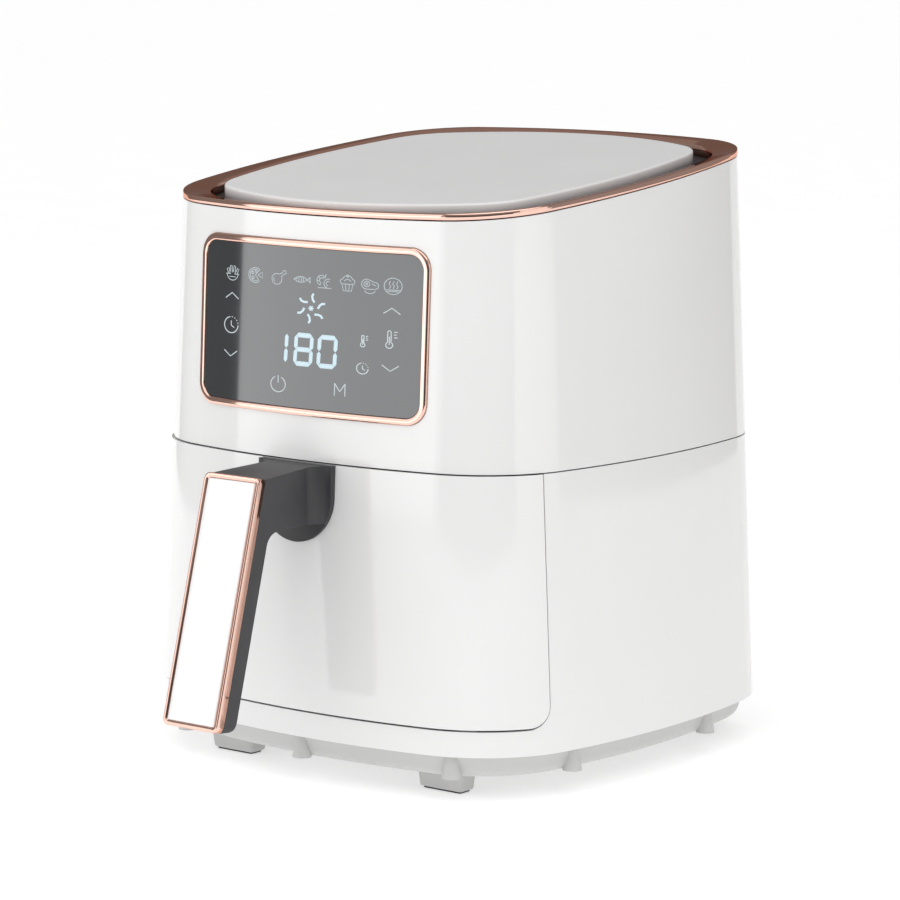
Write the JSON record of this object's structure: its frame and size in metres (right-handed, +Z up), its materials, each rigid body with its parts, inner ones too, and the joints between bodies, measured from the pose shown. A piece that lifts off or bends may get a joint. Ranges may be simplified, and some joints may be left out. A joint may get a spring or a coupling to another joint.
{
  "type": "hot-air fryer",
  "caption": "White digital hot-air fryer with rose-gold trim, a smoked touch panel, a sloping lid plate and a pull-out pan drawer with a bar handle.",
  "frame": {"origin": "bottom centre of the whole appliance, handle included, on the plane that the foot pads stand on", "axes": "+Z up, front and handle towards -Y, +X to the right seen from the front"},
  "size_m": [0.2828, 0.3661, 0.3313],
  "materials": {
    "aluminised_sheet": "pressed bright sheet",
    "anthracite": "fine-grained anthracite plastic",
    "bronze_bush": "sintered bronze",
    "ceramic": "glazed ceramic",
    "circuit_board": "solder-masked laminate",
    "copper_wire": "enamelled copper winding",
    "dark_plastic": "black moulded plastic",
    "gloss_white": "high-gloss moulded ABS",
    "heater_tube": "heat-tinted sheathed element",
    "insulation": "pressed mineral fibre",
    "lid_white": "semi-gloss moulded plastic with a fine grain",
    "nonstick": "speckled non-stick coating",
    "rose_gold": "polished rose-gold plating",
    "rubber_dark": "soft rubber",
    "satin_white": "satin moulded plastic",
    "silicone": "moulded silicone",
    "smoked_glass": "smoked, lightly tinted panel",
    "spring_steel": "plated spring wire",
    "stator_iron": "stacked electrical steel",
    "steel_sheet": "zinc-plated sheet",
    "steel_wire": "welded stainless wire"
  },
  "bodies": {
    "housing": {"upper_housing": "gloss_white", "lower_housing": "gloss_white", "trim_ring": "rose_gold", "top_deck": "dark_plastic", "lid_plate": "lid_white", "panel_frame": "rose_gold", "panel_glass": "smoked_glass", "panel_carrier": "dark_plastic", "display_board": "circuit_board", "display_module": "dark_plastic", "touch_springs": "spring_steel", "bay_fascia": "dark_plastic", "bay_liner": "steel_sheet", "drawer_rails": "steel_sheet", "mid_deck": "satin_white", "heat_chamber": "aluminised_sheet", "exhaust_duct": "aluminised_sheet", "exhaust_grille": "satin_white", "heater_guard": "steel_wire", "heater_coil": "heater_tube", "heater_supports": "steel_wire", "temp_sensor": "steel_wire", "thermal_fuse": "ceramic", "insulation_mat": "insulation", "bulkhead": "steel_sheet", "bulkhead_pillars": "steel_sheet", "motor_bridge": "steel_sheet", "motor_mounts": "rubber_dark", "motor_stator": "stator_iron", "motor_windings": "copper_wire", "motor_cap": "steel_sheet", "motor_bolts": "steel_sheet", "motor_bushes": "bronze_bush", "power_board": "circuit_board", "board_standoffs": "dark_plastic", "board_components": "dark_plastic", "door_switch": "dark_plastic", "cord_gland": "dark_plastic", "base_tray": "satin_white", "base_screws": "steel_sheet", "feet": "satin_white", "foot_pads": "rubber_dark"},
    "fan": {"fan_shaft": "steel_sheet", "hot_air_impeller": "aluminised_sheet", "impeller_nut": "steel_sheet", "cooling_fan": "dark_plastic", "motor_rotor": "stator_iron"},
    "drawer": {"drawer_front": "gloss_white", "drawer_back": "satin_white", "pan": "nonstick", "pan_bracket": "steel_sheet", "handle": "anthracite", "handle_screws": "steel_sheet", "handle_frame": "rose_gold", "handle_insert": "gloss_white"},
    "crisper": {"crisper_plate": "nonstick", "plate_feet": "silicone"},
    "door_plunger": {"switch_plunger": "dark_plastic"}
  },
  "joints": [
    {"name": "drawer_slide", "type": "slide", "parent": "housing", "child": "drawer", "axis": [0, -1, 0], "range_m": [0, 0.27]},
    {"name": "crisper_lift", "type": "slide", "parent": "drawer", "child": "crisper", "axis": [0, 0, 1], "range_m": [0, 0.1]},
    {"name": "fan_spin", "type": "hinge", "parent": "housing", "child": "fan", "pos_m": [0, 0.04063, 0.2], "axis": [0, 0, 1], "continuous": true},
    {"name": "plunger_press", "type": "slide", "parent": "housing", "child": "door_plunger", "axis": [0, 1, 0], "range_m": [0, 0.002], "stiffness_N_per_m": 150, "springref_m": -0.002}
  ]
}
